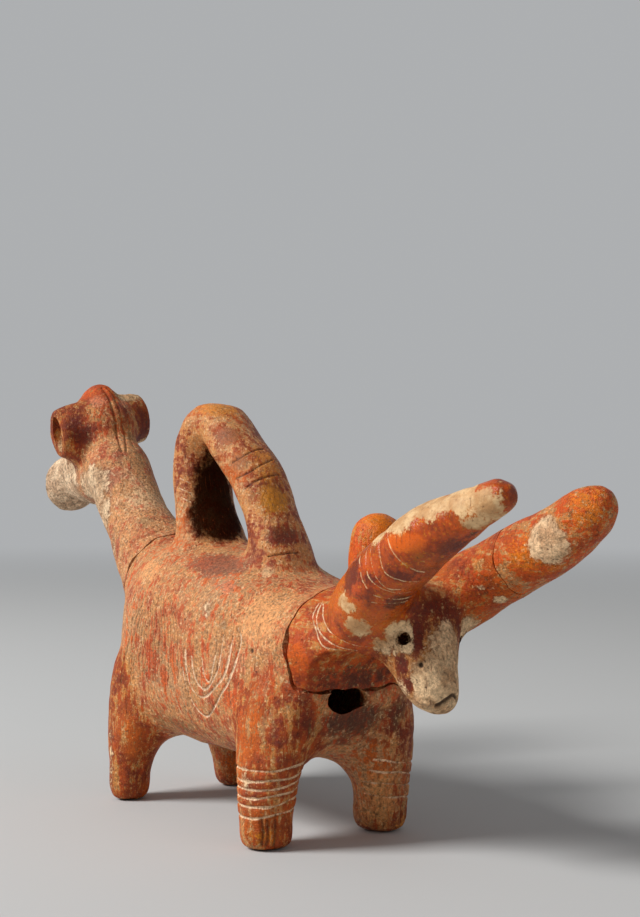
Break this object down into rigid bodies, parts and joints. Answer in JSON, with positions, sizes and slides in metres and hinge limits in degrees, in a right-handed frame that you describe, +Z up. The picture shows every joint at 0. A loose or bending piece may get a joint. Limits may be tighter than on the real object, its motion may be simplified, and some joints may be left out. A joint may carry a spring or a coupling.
{
  "type": "zoomorphic askos",
  "caption": "Hand-built red clay pouring vessel in the form of a four-legged animal with a ram's head at one end, a long-horned bull's head at the other and a strap handle over its back.",
  "frame": {"origin": "on the ground, under the middle of the whole object", "axes": "+X towards the bull's head along the barrel, +Y the bull's left side, +Z up"},
  "size_m": [0.2916, 0.0618, 0.1527],
  "materials": {
    "worn_slip": "worn burnished slip over buff clay",
    "red_slip": "burnished red slip",
    "brown_slip": "burnished slip with brown and sooty patches",
    "limed_clay": "matte clay under a pale lime crust"
  },
  "bodies": {
    "root": {"body_barrel": "worn_slip", "front_left_leg": "red_slip", "front_right_leg": "red_slip", "rear_left_leg": "red_slip", "rear_right_leg": "red_slip", "loop_handle": "brown_slip", "ram_neck": "worn_slip", "ram_head": "worn_slip", "ram_crest": "red_slip", "ram_left_horn": "red_slip", "ram_right_horn": "red_slip", "ram_snout": "limed_clay", "bull_neck": "red_slip", "bull_head": "limed_clay", "bull_poll_knob": "red_slip", "bull_right_horn": "red_slip", "bull_left_horn_base": "worn_slip", "bull_left_horn_tip": "worn_slip"}
  },
  "joints": []
}
